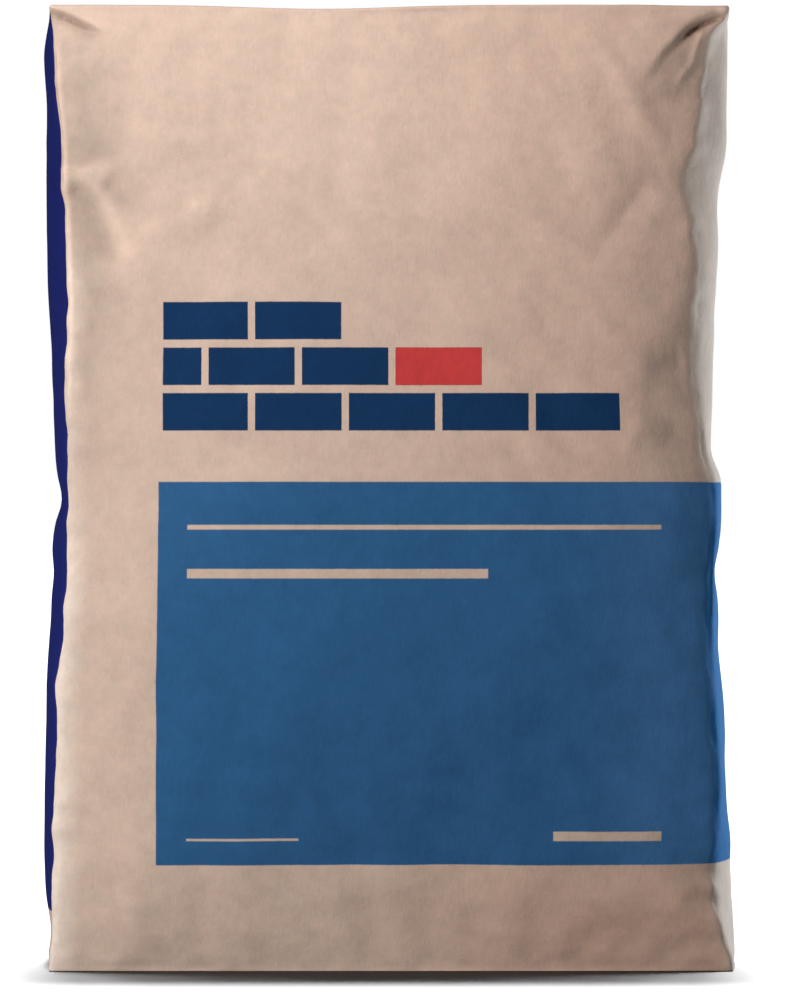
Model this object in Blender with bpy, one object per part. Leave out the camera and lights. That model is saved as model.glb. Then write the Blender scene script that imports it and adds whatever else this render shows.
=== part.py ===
"""A filled 50 kg cement sack of brown kraft paper, standing on its lower block end.

The sack is a paper tube with two faces and two side gussets, whose ends are folded flat into block
ends. Each end is closed by a pasted paper patch, and a flat valve sleeve comes out beside the upper
patch. The cement is inside.

Frame: metres, +Z up, the printed front faces -Y, and the origin is the middle of the underside.
"""

import math

import bmesh
import bpy
import numpy as np

# Overall sizes
HEIGHT = 0.620
BLOCK_WIDTH = 0.118  # front to back, across a block end
EDGE_RADIUS = 0.005  # where a wall turns into a block end

# Paper
WALL = 0.0004  # three plies of sack kraft
PATCH = 0.0004
SLEEVE = 0.0004  # one ply, pressed flat
GAP = 0.0003  # between pieces that touch

# Height against half width, on each side: full at the ends, drawn in at the waist
LEFT_EDGE = [
    (0.000, 0.2205),
    (0.050, 0.2250),
    (0.100, 0.2250),
    (0.200, 0.2232),
    (0.300, 0.2165),
    (0.380, 0.2200),
    (0.470, 0.2237),
    (0.600, 0.2242),
    (0.620, 0.2190),
]
RIGHT_EDGE = [
    (0.000, 0.2250),
    (0.030, 0.2250),
    (0.080, 0.2222),
    (0.150, 0.2187),
    (0.250, 0.2130),
    (0.350, 0.2108),
    (0.430, 0.2133),
    (0.480, 0.2155),
    (0.540, 0.2208),
    (0.600, 0.2212),
    (0.620, 0.2190),
]
# Height against half depth: the cement settles, so the lower half is the fuller one
FACE_SWELL = [
    (0.000, 0.5 * BLOCK_WIDTH),
    (0.060, 0.0650),
    (0.150, 0.0705),
    (0.270, 0.0730),
    (0.420, 0.0695),
    (0.550, 0.0630),
    (0.620, 0.5 * BLOCK_WIDTH),
]
# A section is |x/a|^m + |y/b|^n = 1: a box with bowed gussets at the ends, and a pillow in the middle
END_POWERS = (16.0, 5.0)
MIDDLE_POWERS = (5.0, 4.0)
END_REACH = 0.180  # height over which an end's section turns into the middle's

# Pasted patches and the valve
PATCH_HALF_DEPTH = 0.046
PATCH_HALF_LENGTH = 0.190
PATCH_CORNER = 0.004
VALVE_EDGE = 0.174  # the upper patch stops here, short of the valve
SLOT = (0.177, 0.187)  # the gap in the folded end that the sleeve comes through
SLOT_HALF_DEPTH = 0.046
SLEEVE_START = 0.060
SLEEVE_RISE = (0.179, 0.185)
SLEEVE_TIP = 0.208
SLEEVE_HALF_DEPTH = 0.043
SLEEVE_TIP_HALF_DEPTH = 0.040

# Mesh density
POINTS_AROUND = 64
GUSSET_SPACING = 0.5  # spacing of the points at mid gusset, as a share of the even spacing
WALL_RINGS = 20
EDGE_STEPS = 3

KRAFT = (0.50, 0.36, 0.27)
PATCH_KRAFT = (0.47, 0.34, 0.25)
SLEEVE_KRAFT = (0.58, 0.46, 0.36)
CEMENT = (0.30, 0.30, 0.29)


def clear_scene():
    for thing in list(bpy.data.objects):
        bpy.data.objects.remove(thing)


def paper_material(name, colour, roughness):
    material = bpy.data.materials.new(name)
    material.use_nodes = True
    shader = material.node_tree.nodes["Principled BSDF"]
    shader.inputs["Base Color"].default_value = (*colour, 1.0)
    shader.inputs["Roughness"].default_value = roughness
    shader.inputs["Metallic"].default_value = 0.0
    return material


def along(table, height):
    """A smooth curve through the table's points that never swings past a highest or lowest one."""
    heights, values = np.array(table).T
    slopes = np.gradient(values, heights)
    steps = np.diff(values)
    slopes[1:-1][steps[1:] * steps[:-1] <= 0] = 0.0
    k = int(np.clip(np.searchsorted(heights, height) - 1, 0, len(heights) - 2))
    span = heights[k + 1] - heights[k]
    t = min(max((height - heights[k]) / span, 0.0), 1.0)
    start = (1 + 2 * t) * (1 - t) ** 2 * values[k] + t * (1 - t) ** 2 * span * slopes[k]
    end = t * t * (3 - 2 * t) * values[k + 1] + t * t * (t - 1) * span * slopes[k + 1]
    return start + end


def quarter(half_width, half_depth, powers):
    """Points from mid gusset (half_width, 0) to mid face (0, half_depth), closer on the gusset."""
    m, n = powers
    turn = np.linspace(0, math.pi / 2, 600)
    x = half_width * np.cos(turn) ** (2 / m)
    y = half_depth * np.sin(turn) ** (2 / n)
    x[-1], y[0] = 0.0, 0.0
    walked = np.concatenate([[0], np.cumsum(np.hypot(np.diff(x), np.diff(y)))])
    share = np.linspace(0, 1, POINTS_AROUND // 4 + 1)
    stops = walked[-1] * share * (GUSSET_SPACING + (1 - GUSSET_SPACING) * share)
    return np.stack([np.interp(stops, walked, x), np.interp(stops, walked, y)], axis=1)


def section(height):
    """The outline of the sack at a height, anticlockwise from the middle of the right gusset."""
    from_end = min(height, HEIGHT - height) / END_REACH
    blend = min(max(from_end, 0.0), 1.0)
    blend = blend * blend * (3 - 2 * blend)
    powers = [e + (mid - e) * blend for e, mid in zip(END_POWERS, MIDDLE_POWERS)]
    half_depth = along(FACE_SWELL, height)
    right = quarter(along(RIGHT_EDGE, height), half_depth, powers)
    left = quarter(along(LEFT_EDGE, height), half_depth, powers)
    return np.concatenate(
        [
            right[:-1],
            (left * (-1, 1))[:0:-1],
            (left * (-1, -1))[:-1],
            (right * (1, -1))[:0:-1],
        ]
    )


def drawn_in(outline, distance):
    """The outline with every side moved inwards by a distance, along mitred corner normals."""
    side = np.roll(outline, -1, axis=0) - outline
    side /= np.linalg.norm(side, axis=1, keepdims=True)
    inward = np.stack([-side[:, 1], side[:, 0]], axis=1)
    before = np.roll(inward, 1, axis=0)
    shared = 1 + np.sum(inward * before, axis=1, keepdims=True)
    return outline + distance * (inward + before) / shared


def ring_levels(bottom_inset, wall_inset, top_inset):
    """(height, draw-in) of each ring. Both ends turn in about the same centres at every inset."""
    low = PATCH + GAP + EDGE_RADIUS
    high = HEIGHT - PATCH - GAP - EDGE_RADIUS
    turns = [0.5 * math.pi * k / EDGE_STEPS for k in range(1, EDGE_STEPS + 1)]
    draws = [EDGE_RADIUS - (EDGE_RADIUS - wall_inset) * math.cos(a) for a in turns]
    drops = [(EDGE_RADIUS - bottom_inset) * math.sin(a) for a in turns]
    rises = [(EDGE_RADIUS - top_inset) * math.sin(a) for a in turns]
    lower = [(low - drop, draw) for drop, draw in zip(drops, draws)]
    upper = [(high + rise, draw) for rise, draw in zip(rises, draws)]
    wall = [(float(z), wall_inset) for z in np.linspace(low, high, WALL_RINGS)]
    return lower[::-1] + wall + upper


def add_skin(bm, inset, top_inset, inwards=False):
    """One closed skin of the sack, inset from the outer face of the paper."""
    rings = []
    for height, draw in ring_levels(inset, inset, top_inset):
        outline = drawn_in(section(height), draw)
        rings.append([bm.verts.new((x, y, height)) for x, y in outline])
    faces = [rings[0][::-1], rings[-1]]
    for low, high in zip(rings, rings[1:]):
        for i in range(POINTS_AROUND):
            j = (i + 1) % POINTS_AROUND
            faces += [[low[i], low[j], high[j]], [low[i], high[j], high[i]]]
    for corners in faces:
        bm.faces.new(corners[::-1] if inwards else corners)


def new_object(name, bm, material):
    mesh = bpy.data.meshes.new(name)
    bm.to_mesh(mesh)
    bm.free()
    thing = bpy.data.objects.new(name, mesh)
    bpy.context.scene.collection.objects.link(thing)
    if material:
        mesh.materials.append(material)
    return thing


def shade_round(thing):
    thing.data.shade_smooth()
    thing.data.set_sharp_from_angle(angle=math.radians(50))


def block(name, low, high, material=None):
    """A box between two corners, its upright edges rounded if it is a paper patch."""
    bm = bmesh.new()
    bmesh.ops.create_cube(bm, size=1.0)
    for vert in bm.verts:
        vert.co = [low[k] if vert.co[k] < 0 else high[k] for k in range(3)]
    if material:
        upright = [e for e in bm.edges if abs(e.verts[0].co.z - e.verts[1].co.z) > 1e-6]
        bmesh.ops.bevel(bm, geom=upright, offset=PATCH_CORNER, segments=2, affect="EDGES", profile=0.5)
    return new_object(name, bm, material)


def make_paper_sack():
    """The folded tube: an outer and an inner skin, with the valve's slot cut through the upper end."""
    bm = bmesh.new()
    add_skin(bm, 0.0, 0.0)
    add_skin(bm, WALL, WALL, inwards=True)
    sack = new_object("paper_sack", bm, paper_material("kraft_paper", KRAFT, 0.8))
    shade_round(sack)
    slot = block(
        "valve_slot_cutter",
        (SLOT[0], -SLOT_HALF_DEPTH, HEIGHT - 5 * WALL),
        (SLOT[1], SLOT_HALF_DEPTH, HEIGHT + 5 * WALL),
    )
    slot.hide_render = True
    slot.display_type = "WIRE"
    cut = sack.modifiers.new("valve_slot", "BOOLEAN")
    cut.operation = "DIFFERENCE"
    cut.solver = "EXACT"
    cut.object = slot


def make_cement_fill():
    """The cement, against the paper all round, and clear of the valve sleeve at the top."""
    bm = bmesh.new()
    add_skin(bm, WALL + GAP, WALL + GAP + SLEEVE + GAP)
    shade_round(new_object("cement_fill", bm, paper_material("cement", CEMENT, 0.95)))


def make_patches():
    kraft = paper_material("patch_kraft", PATCH_KRAFT, 0.8)
    depth = PATCH_HALF_DEPTH
    block("bottom_patch", (-PATCH_HALF_LENGTH, -depth, 0.0), (PATCH_HALF_LENGTH, depth, PATCH), kraft)
    block("top_patch", (-PATCH_HALF_LENGTH, -depth, HEIGHT - PATCH), (VALVE_EDGE, depth, HEIGHT), kraft)


def make_valve_sleeve():
    """A flat tongue that lies under the folded end, rises through the slot and lies over the right end."""
    inside = HEIGHT - PATCH - GAP - WALL - GAP - SLEEVE
    outside = HEIGHT - SLEEVE
    stations = [
        (SLEEVE_START, inside, SLEEVE_HALF_DEPTH),
        (SLEEVE_RISE[0], inside, SLEEVE_HALF_DEPTH),
        (SLEEVE_RISE[1], outside, SLEEVE_HALF_DEPTH),
        (SLEEVE_TIP, outside, SLEEVE_TIP_HALF_DEPTH),
    ]
    bm = bmesh.new()
    rings = []
    for x, z, half in stations:
        corners = [(-half, z), (half, z), (half, z + SLEEVE), (-half, z + SLEEVE)]
        rings.append([bm.verts.new((x, y, up)) for y, up in corners])
    bm.faces.new(rings[0][::-1])
    bm.faces.new(rings[-1])
    for near, far in zip(rings, rings[1:]):
        for i in range(4):
            j = (i + 1) % 4
            bm.faces.new([near[i], near[j], far[j], far[i]])
    new_object("valve_sleeve", bm, paper_material("sleeve_kraft", SLEEVE_KRAFT, 0.7))


clear_scene()
make_paper_sack()
make_cement_fill()
make_patches()
make_valve_sleeve()
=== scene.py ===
import math

import bpy
import numpy as np
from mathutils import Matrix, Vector


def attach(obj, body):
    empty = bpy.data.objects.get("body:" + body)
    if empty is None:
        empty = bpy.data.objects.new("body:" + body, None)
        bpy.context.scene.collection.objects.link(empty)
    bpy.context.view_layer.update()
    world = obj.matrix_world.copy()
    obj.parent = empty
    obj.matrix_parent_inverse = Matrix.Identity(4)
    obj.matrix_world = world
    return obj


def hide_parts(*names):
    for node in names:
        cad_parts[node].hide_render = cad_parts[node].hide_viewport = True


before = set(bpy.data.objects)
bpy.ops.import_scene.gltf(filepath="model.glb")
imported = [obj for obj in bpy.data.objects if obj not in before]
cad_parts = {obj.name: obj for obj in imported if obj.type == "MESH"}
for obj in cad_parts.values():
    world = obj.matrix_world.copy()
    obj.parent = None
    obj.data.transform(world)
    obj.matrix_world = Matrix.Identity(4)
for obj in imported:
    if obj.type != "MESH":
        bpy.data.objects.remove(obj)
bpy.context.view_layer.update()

# The sack's shape. Each table is (height, value), in metres. The tube has four upright folds, where a
# face meets a side gusset: foldLeft and foldRight are their distances from the middle
sack = {
    "base": 0.0003,
    "patchRoom": 0.0005,  # how much higher the underside lies over its patch than at its rim
    "top": 0.6184,
    "faceHalf": 0.2170,  # half a face, flat
    "gussetHalf": 0.0600,  # half a gusset, flat
    "print": 0.2125,  # the face's half width where nothing has pulled the print sideways
    "edgeLeft": [
        (0.000, 0.2180), (0.009, 0.2194), (0.020, 0.2182), (0.045, 0.2236), (0.080, 0.2250), (0.110, 0.2244),
        (0.145, 0.2237), (0.175, 0.2235), (0.207, 0.2226), (0.236, 0.2202), (0.254, 0.2187), (0.270, 0.2202),
        (0.288, 0.2183), (0.303, 0.2141), (0.318, 0.2170), (0.336, 0.2185), (0.368, 0.2197), (0.400, 0.2210),
        (0.432, 0.2229), (0.465, 0.2236), (0.530, 0.2234), (0.560, 0.2234), (0.604, 0.2224), (0.612, 0.2200),
        (0.620, 0.2172),
    ],
    "edgeRight": [
        (0.000, 0.2222), (0.010, 0.2248), (0.022, 0.2244), (0.047, 0.2229), (0.080, 0.2222), (0.112, 0.2192),
        (0.143, 0.2195), (0.175, 0.2177), (0.207, 0.2148), (0.239, 0.2138), (0.255, 0.2115), (0.272, 0.2151),
        (0.300, 0.2170), (0.316, 0.2169), (0.336, 0.2101), (0.368, 0.2118), (0.400, 0.2125), (0.432, 0.2133),
        (0.465, 0.2151), (0.497, 0.2155), (0.530, 0.2208), (0.560, 0.2209), (0.604, 0.2212), (0.620, 0.2182),
    ],
    "foldLeft": [
        (0.000, 0.2180), (0.010, 0.2172), (0.020, 0.2162), (0.046, 0.2160), (0.060, 0.2154), (0.080, 0.2158),
        (0.110, 0.2158), (0.133, 0.2164), (0.155, 0.2154), (0.181, 0.2166), (0.205, 0.2128), (0.225, 0.2105),
        (0.245, 0.2085), (0.271, 0.2080), (0.303, 0.2070), (0.336, 0.2077), (0.368, 0.2082), (0.400, 0.2066),
        (0.420, 0.2061), (0.440, 0.2066), (0.465, 0.2073), (0.497, 0.2086), (0.530, 0.2105), (0.560, 0.2137),
        (0.586, 0.2150), (0.608, 0.2163), (0.620, 0.2180),
    ],
    "foldRight": [
        (0.000, 0.2205), (0.009, 0.2195), (0.022, 0.2153), (0.060, 0.2083), (0.120, 0.2123), (0.200, 0.2083),
        (0.300, 0.2108), (0.340, 0.2034), (0.395, 0.1969), (0.427, 0.1990), (0.451, 0.2004), (0.478, 0.1949),
        (0.500, 0.1890), (0.526, 0.1959), (0.551, 0.2009), (0.571, 0.2034), (0.593, 0.2060), (0.604, 0.2085),
        (0.612, 0.2160), (0.620, 0.2185),
    ],
    "swell": [
        (0.000, 0.0610), (0.020, 0.0622), (0.060, 0.0655), (0.150, 0.0705), (0.270, 0.0730), (0.420, 0.0695),
        (0.550, 0.0630), (0.620, 0.0590),
    ],
    "foldDepthLeft": [
        (0.000, 0.0595), (0.100, 0.0555), (0.220, 0.0580), (0.310, 0.0620), (0.420, 0.0640), (0.550, 0.0610),
        (0.620, 0.0580),
    ],
    "foldDepthRight": [
        (0.000, 0.0595), (0.100, 0.0550), (0.310, 0.0490), (0.500, 0.0510), (0.570, 0.0525), (0.605, 0.0555),
        (0.620, 0.0580),
    ],
    "foldSoftness": [
        (0.000, 0.0030), (0.050, 0.0045), (0.150, 0.0075), (0.470, 0.0070), (0.570, 0.0035), (0.620, 0.0025),
    ],
    # Roundness: the higher it is, the nearer to its fold a face or gusset turns
    "roundnessLeft": [(0.000, 3.5), (0.200, 3.5), (0.330, 2.0), (0.620, 2.0)],
    "roundnessRight": [(0.000, 4.0), (0.620, 4.0)],
    "gussetRoundness": 2.0,
    "lowerRadius": 0.0010,
    "upperRadius": 0.0022,
    "topDips": [(0.0026, -0.045, 0.065), (0.0006, 0.2, 0.03)],  # of the upper end: depth, middle, half width
    "topDipReach": 0.035,  # how far down the wall the dips fade out
    "patchRoomEase": 0.08,  # share of the underside over which its patch's room opens
}

# How finely the paper is divided: columns round the tube, and rows up it. By crowding, both stand closer
# together near the upright folds and near the ends, where the creases are
paper = {
    "faceColumns": 77,
    "gussetColumns": 22,
    "wallRows": 212,
    "edgeRows": 4,
    "capRows": 12,
    "crowding": 0.42,
    "rowCrowding": 0.58,
    "measuredColumn": 180,  # the column along which heights up the paper are measured
    "lattice": 0.0025,  # step of the lattice of random heights
    "latticeRows": 280,
    "latticeMargin": 10,  # how many of its rows lie under the foot
    "roundTube": 4 * (sack["faceHalf"] + sack["gussetHalf"]),
    "sharpAngle": 45,  # degrees: an edge that bends more is drawn sharp
}


def along(table, height):
    # Cubic curve through a table's points, flat at its highest and lowest ones so that it never overshoots
    heights, values = np.array(table).T
    slopes = np.gradient(values, heights)
    steps = np.diff(values)
    slopes[1:-1][steps[1:] * steps[:-1] <= 0] = 0.0
    height = np.clip(height, heights[0], heights[-1])
    k = np.clip(np.searchsorted(heights, height) - 1, 0, len(heights) - 2)
    span = heights[k + 1] - heights[k]
    t = (height - heights[k]) / span
    start = (1 + 2 * t) * (1 - t) ** 2 * values[k] + t * (1 - t) ** 2 * span * slopes[k]
    end = t * t * (3 - 2 * t) * values[k + 1] + t * t * (t - 1) * span * slopes[k + 1]
    return start + end


def smooth(low, high, value):
    # 0 below low, 1 above high, and an S curve between them
    t = np.clip((value - low) / (high - low), 0, 1)
    return t * t * (3 - 2 * t)


def faceShares():
    # The columns of half a face, from 0 in its middle to 1 at its fold: a parabola crowds them at the fold
    even = np.linspace(0, 1, paper["faceColumns"] + 1)
    return even + paper["crowding"] * even * (1 - even)


def wallShares():
    # The rows of the wall, from 0 at its foot to 1 at its head: a sine crowds them at both ends
    even = np.linspace(0, 1, paper["wallRows"])
    return even - paper["rowCrowding"] * np.sin(2 * math.pi * even) / (2 * math.pi)


def quarterOutline(side, fold, depth, foldDepth, roundness):
    # Half a face and half a gusset, from (0, depth) by the fold at (fold, foldDepth) to (side, 0). Each half
    # is a power curve: it leaves its own middle flat and bends more and more towards the fold. Only the
    # outer part of a face is pulled sideways to the fold, so that the print stays upright
    f = faceShares()[None, :]
    g = np.linspace(1, 0, paper["gussetColumns"] + 1)[None, 1:]
    faceX = sack["print"] * f + (fold[:, None] - sack["print"]) * f**5
    faceY = depth[:, None] - (depth - foldDepth)[:, None] * f ** roundness[:, None]
    gussetX = side[:, None] - (side - fold)[:, None] * g ** sack["gussetRoundness"]
    gussetY = foldDepth[:, None] * g
    return np.stack([np.hstack([faceX, gussetX]), np.hstack([faceY, gussetY])], axis=2)


def outlines(heights):
    # One closed outline for each height, from the middle of the back round by the left gusset, the front and
    # the right gusset. A blur along the paper softens the folds
    def half(side):
        names = [name + side for name in ("edge", "fold", "foldDepth", "roundness")]
        edge, fold, foldDepth, roundness = [along(sack[name], heights) for name in names]
        return quarterOutline(edge, fold, along(sack["swell"], heights), foldDepth, roundness)

    left, right = half("Left"), half("Right")
    ring = np.concatenate(
        [
            (left * (-1, 1))[:, :-1],
            (left * (-1, -1))[:, :0:-1],
            (right * (1, -1))[:, :-1],
            right[:, :0:-1],
        ],
        axis=1,
    )
    columns = ring.shape[1]
    waves = np.fft.fftfreq(columns, 1 / columns)[None, :, None] * 2 * math.pi / paper["roundTube"]
    softness = along(sack["foldSoftness"], heights)[:, None, None]
    return np.fft.ifft(np.fft.fft(ring, axis=1) * np.exp(-0.5 * (waves * softness) ** 2), axis=1).real


def drawnIn(outline, distance):
    # Moves each outline inwards along its own normals
    ahead = np.roll(outline, -1, axis=1) - np.roll(outline, 1, axis=1)
    ahead /= np.linalg.norm(ahead, axis=2, keepdims=True)
    inward = np.stack([-ahead[:, :, 1], ahead[:, :, 0]], axis=2)
    return outline + inward * distance[:, None, None]


def topSag(x):
    # How far the upper end lies under its own level along its length: a bell curve for each of its dips
    return -sum(depth * np.exp(-(((x - middle) / half) ** 2)) for depth, middle, half in sack["topDips"])


def sackGrid():
    # Rings from the middle line of the underside out to its edge, up the wall, and in over the top
    lower, upper, base, top = [sack[name] for name in ("lowerRadius", "upperRadius", "base", "top")]
    turn = np.linspace(0, math.pi / 2, paper["edgeRows"] + 1)[1:]
    wallZ = base + lower + (top - base - lower - upper) * wallShares()
    lift, draw = 1 - np.sin(turn), 1 - np.cos(turn)
    z = np.concatenate([base + lower * lift[::-1], wallZ, top - upper * lift])
    wall = drawnIn(outlines(z), np.concatenate([lower * draw[::-1], 0 * wallZ, upper * draw]))
    wall = np.concatenate([wall, np.repeat(z[:, None, None], wall.shape[1], axis=1)], axis=2)
    closeUp = (np.arange(1, paper["capRows"] + 1) / paper["capRows"])[:, None, None]
    caps = []
    for ring in (wall[0], wall[-1]):
        halfDepth = np.abs(ring[:, 1]).max()
        middle = ring * (1 - halfDepth / np.abs(ring[:, 0]).max(), 0, 1)
        caps.append(ring[None] + (middle - ring)[None] * closeUp)
    grid = np.concatenate([caps[0][::-1], wall, caps[1]])
    grid[:, :, 2] += smooth(top - sack["topDipReach"], top, grid[:, :, 2]) * topSag(grid[:, :, 0])
    inwards = np.arange(paper["capRows"], 0, -1) / paper["capRows"]
    room = sack["patchRoom"] * (1 - np.exp(-inwards / sack["patchRoomEase"]))
    grid[: paper["capRows"], :, 2] += room[:, None]
    return grid


def paperPlaces(rows):
    # Each column's distance round the tube, 0 in the middle of the front and more to the right, and each
    # row's distance up the paper
    face = sack["faceHalf"] * faceShares()
    gusset = sack["faceHalf"] + np.linspace(0, sack["gussetHalf"], paper["gussetColumns"] + 1)[1:]
    quarter = np.concatenate([face, gusset])
    half = np.concatenate([quarter, 2 * quarter[-1] - quarter[-2::-1]])
    around = np.concatenate([-half[::-1], half[1:]])
    up = np.concatenate([[0.0], np.cumsum(rows)])
    return around, up


def gridNormals(grid):
    # Outward normals, from the step round the ring and the step up the rows
    ahead = np.roll(grid, -1, axis=1) - np.roll(grid, 1, axis=1)
    normal = np.cross(ahead, np.gradient(grid, axis=0))
    return normal / np.maximum(np.linalg.norm(normal, axis=2, keepdims=True), 1e-12)


def blurred(field, sigmaUp, sigmaAround):
    # Gaussian blur in points, round the ring without a seam and mirrored at the first and last rows
    rows, columns = field.shape
    tall = np.concatenate([field, field[::-1]])
    up = np.fft.fftfreq(2 * rows)[:, None] * 2 * math.pi * sigmaUp
    around = np.fft.fftfreq(columns)[None, :] * 2 * math.pi * sigmaAround
    return np.fft.ifft2(np.fft.fft2(tall) * np.exp(-0.5 * (up**2 + around**2))).real[:rows]


def softLumps(seed, a, h, sizeUp, sizeAround):
    # Blurred random heights with a spread of 1, read from a lattice with straight lines between its points.
    # It closes on itself round the tube. Sizes are in metres
    columns, rows = round(paper["roundTube"] / paper["lattice"]), paper["latticeRows"]
    step = paper["roundTube"] / columns
    field = np.random.default_rng(seed).normal(size=(rows, columns))
    field = blurred(field, sizeUp / step, sizeAround / step)
    field = (field - field.mean()) / field.std()
    u, v = a / step + columns, np.clip(h / step + paper["latticeMargin"], 0, rows - 2)
    i, j = np.floor(u).astype(int), np.floor(v).astype(int)
    lower = field[j, i % columns] * (1 - u + i) + field[j, (i + 1) % columns] * (u - i)
    upper = field[j + 1, i % columns] * (1 - u + i) + field[j + 1, (i + 1) % columns] * (u - i)
    return lower * (1 - v + j) + upper * (v - j)


# The triangle lattice of the crumples. Its bend's size and strength and its rows' step are shares of a facet
triangles = {"bendSize": 1.3, "bend": 0.45, "rowStep": 0.87, "rows": 64}


def facets(seed, a, h, size, spread):
    # Crumpled paper: random heights at the corners of a skewed triangle lattice, joined by flat facets. The
    # lattice is first bent by soft lumps so that no two facets match
    columns = round(paper["roundTube"] / size)
    bendSize, rows = triangles["bendSize"] * size, triangles["rows"]
    bendA = softLumps(seed, a, h, bendSize, bendSize) * triangles["bend"] * size
    bendB = softLumps(seed + 1, a, h, bendSize, bendSize) * triangles["bend"] * size
    v = (h + bendB) / (size * triangles["rowStep"])
    u = (a + bendA) / paper["roundTube"] * columns + 0.5 * v
    table = np.random.default_rng(seed + 2).normal(size=(rows, columns * 2))
    i, j = np.floor(u).astype(int), np.floor(v).astype(int)
    fu, fv = u - i, v - j

    def corner(di, dj):
        return table[(j + dj) % rows, (2 * (i + di) - (j + dj)) % (2 * columns)]

    lower = corner(0, 0) * (1 - fu - fv) + corner(1, 0) * fu + corner(0, 1) * fv
    upper = corner(1, 1) * (fu + fv - 1) + corner(1, 0) * (1 - fv) + corner(0, 1) * (1 - fu)
    return np.where(fu + fv < 1, lower, upper) * spread


def nearLine(x, z, points):
    # The distance to a line through given points, its sign (positive on the line's left, as one goes along
    # it), and the share of the line that lies behind the nearest place
    points = np.array(points)
    steps = np.diff(points, axis=0)
    lengths = np.hypot(*steps.T)
    starts = np.concatenate([[0], np.cumsum(lengths)])
    best, away, place = (np.full(x.shape, value) for value in (1e9, 0.0, 0.0))
    for (ax, az), (dx, dz), length, start in zip(points, steps / lengths[:, None], lengths, starts):
        t = np.clip((x - ax) * dx + (z - az) * dz, 0, length)
        gap = np.hypot(x - ax - t * dx, z - az - t * dz)
        nearer = gap < best
        best = np.where(nearer, gap, best)
        away = np.where(nearer, np.where((z - az) * dx - (x - ax) * dz > 0, gap, -gap), away)
        place = np.where(nearer, (start + t) / starts[-1], place)
    return away, place


def fadedEnds(place, fades):
    # 1 along the middle of a line, falling to 0 over the given shares of it at its two ends
    start = smooth(0, fades[0], place) if fades[0] else 1
    return start * smooth(0, fades[1], 1 - place)


def foldField(x, z, fold):
    # A fold: a ridge or valley that falls off exponentially at one rate on the left of its line and at
    # another on its right. Soft rounds its crest
    away, place = nearLine(x, z, fold["points"])
    soft = fold.get("soft", 0.001)
    gap = np.sqrt(away**2 + soft**2) - soft
    widths = np.where(away > 0, *fold["widths"])
    return fold["height"] * np.exp(-gap / widths) * fadedEnds(place, fold.get("fade", (0.2, 0.3)))


def tuckField(x, z, tuck):
    # A tuck: an S-shaped step down on the left of its line, which comes back out exponentially over its
    # reach. On its right a low lip falls off in the same way
    away, place = nearLine(x, z, tuck["points"])
    wall = tuck["wall"] * (1 + tuck["widening"] * place)
    step = smooth(-wall / 2, wall / 2, away)
    low = step * np.exp(-np.maximum(away, 0) / tuck["reach"])
    lip = (1 - step) * np.exp(np.minimum(away, 0) / tuck["lipReach"])
    return (tuck["lip"] * lip - tuck["depth"] * low) * fadedEnds(place, tuck["fade"])


# Tucks and folds in the paper of the front, as (x, z) points in metres. A negative height is a valley
frontTucks = [
    {"points": [
        (0.2180, 0.6128), (0.2080, 0.6106), (0.2010, 0.6083), (0.1933, 0.6038), (0.1882, 0.5993),
        (0.1831, 0.5944), (0.1780, 0.5895), (0.1723, 0.5818), (0.1685, 0.5761), (0.1627, 0.5669),
        (0.1563, 0.5516),
    ], "depth": 0.0062, "lip": 0.0010, "wall": 0.0034, "widening": 2.0, "reach": 0.110, "lipReach": 0.030,
     "fade": (0, 0.80)},
    {"points": [
        (0.2300, 0.6090), (0.2120, 0.5990), (0.2010, 0.5935), (0.1910, 0.5840), (0.1830, 0.5730),
        (0.1760, 0.5600), (0.1690, 0.5440), (0.1640, 0.5300),
    ], "depth": 0.0062, "lip": 0, "wall": 0.0210, "widening": 0.3, "reach": 0.200, "lipReach": 0.030,
     "fade": (0.02, 0.50)},
    {"points": [(-0.2120, 0.5130), (-0.1920, 0.5155), (-0.1729, 0.5174), (-0.1560, 0.5150)],
     "depth": 0.0060, "lip": 0.0006, "wall": 0.0080, "widening": 0.4, "reach": 0.042, "lipReach": 0.012,
     "fade": (0, 0.60)},
    {"points": [
        (-0.1760, 0.5965), (-0.1863, 0.6020), (-0.1946, 0.6061), (-0.2022, 0.6097), (-0.2099, 0.6128),
        (-0.2180, 0.6150),
    ], "depth": 0.0066, "lip": 0.0006, "wall": 0.0046, "widening": 0, "reach": 0.011, "lipReach": 0.012,
     "fade": (0.45, 0.02)},
]
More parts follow.
